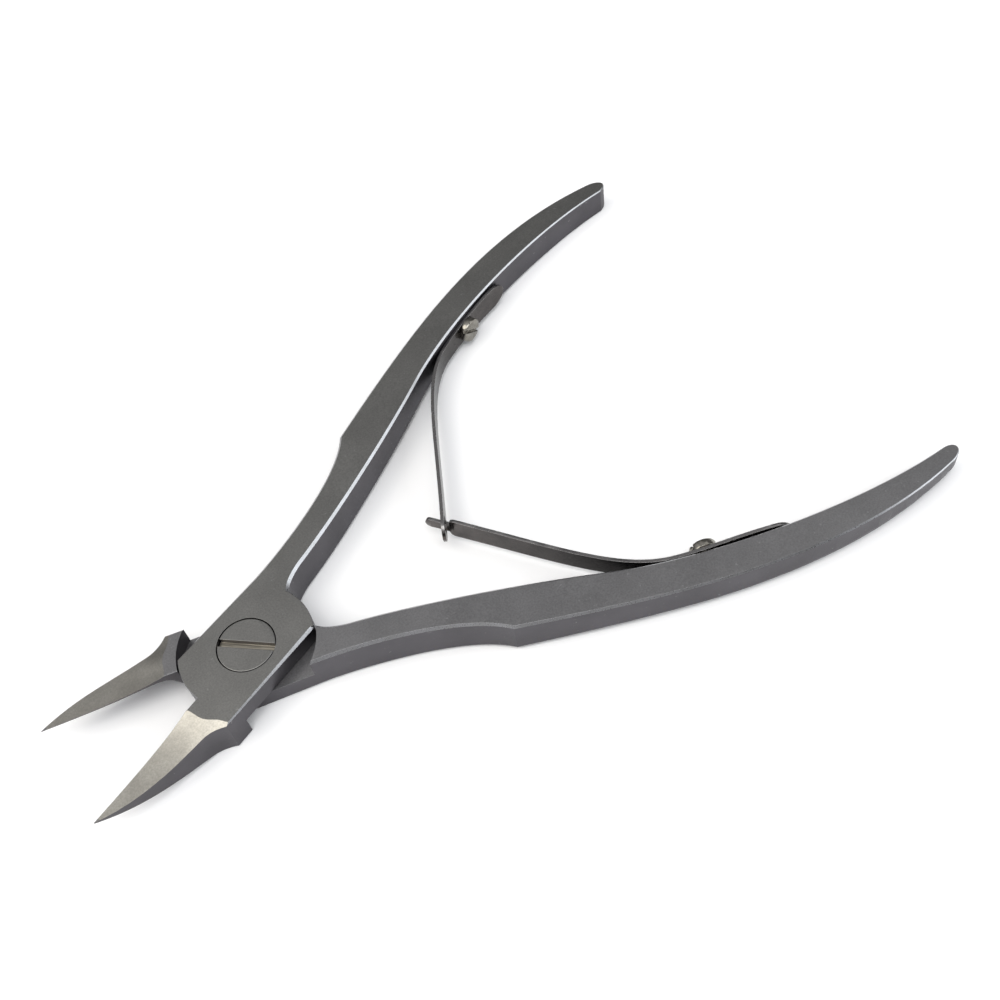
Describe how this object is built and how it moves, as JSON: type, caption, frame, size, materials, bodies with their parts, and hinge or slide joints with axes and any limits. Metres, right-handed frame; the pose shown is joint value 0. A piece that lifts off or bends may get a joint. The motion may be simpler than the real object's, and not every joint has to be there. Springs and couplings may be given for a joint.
{
  "type": "cuticle nipper",
  "caption": "Cuticle nipper with a lap joint, a flush slotted pivot screw, tapered ground jaws, slim curved handles and interlocking leaf springs that hold it open.",
  "frame": {"origin": "on the pivot axis, in the plane of the face the nipper lies on", "axes": "+X from the jaws to the handles along the line of symmetry, +Z along the pivot axis and out of the screw's slotted head, +Y towards the handle of the upper half"},
  "size_m": [0.1223, 0.0804, 0.0062],
  "materials": {
    "satin_steel": "fine satin, with brighter ground jaw faces",
    "spring_steel": "rolled strip, slightly brown, with polished edges",
    "bright_screw": "turned and nickel plated"
  },
  "bodies": {
    "upper_half": {"half_a": "satin_steel", "spring_screw_a": "bright_screw"},
    "lower_half": {"half_b": "satin_steel", "pivot_screw": "satin_steel", "spring_screw_b": "bright_screw"},
    "upper_leaf": {"leaf_spring_a": "spring_steel"},
    "lower_leaf": {"leaf_spring_b": "spring_steel"}
  },
  "joints": [
    {"name": "pivot", "type": "hinge", "parent": "upper_half", "child": "lower_half", "pos_m": [0, 0, 0], "axis": [0, 0, 1], "range_deg": [0, 32], "stiffness_Nm_per_rad": 1.2},
    {"name": "upper_leaf_flex", "type": "hinge", "parent": "upper_half", "child": "upper_leaf", "pos_m": [0.0478, 0.0244, 0.00285], "axis": [0, 0, 1], "range_deg": [-21, 0], "deforming": ["leaf_spring_a"]},
    {"name": "lower_leaf_flex", "type": "hinge", "parent": "lower_half", "child": "lower_leaf", "pos_m": [0.0478, -0.0244, 0.00285], "axis": [0, 0, 1], "range_deg": [0, 21], "deforming": ["leaf_spring_b"]}
  ],
  "couplings": [
    {"joint": "upper_leaf_flex", "follows": "pivot", "ratio": -0.65},
    {"joint": "lower_leaf_flex", "follows": "pivot", "ratio": 0.65}
  ]
}
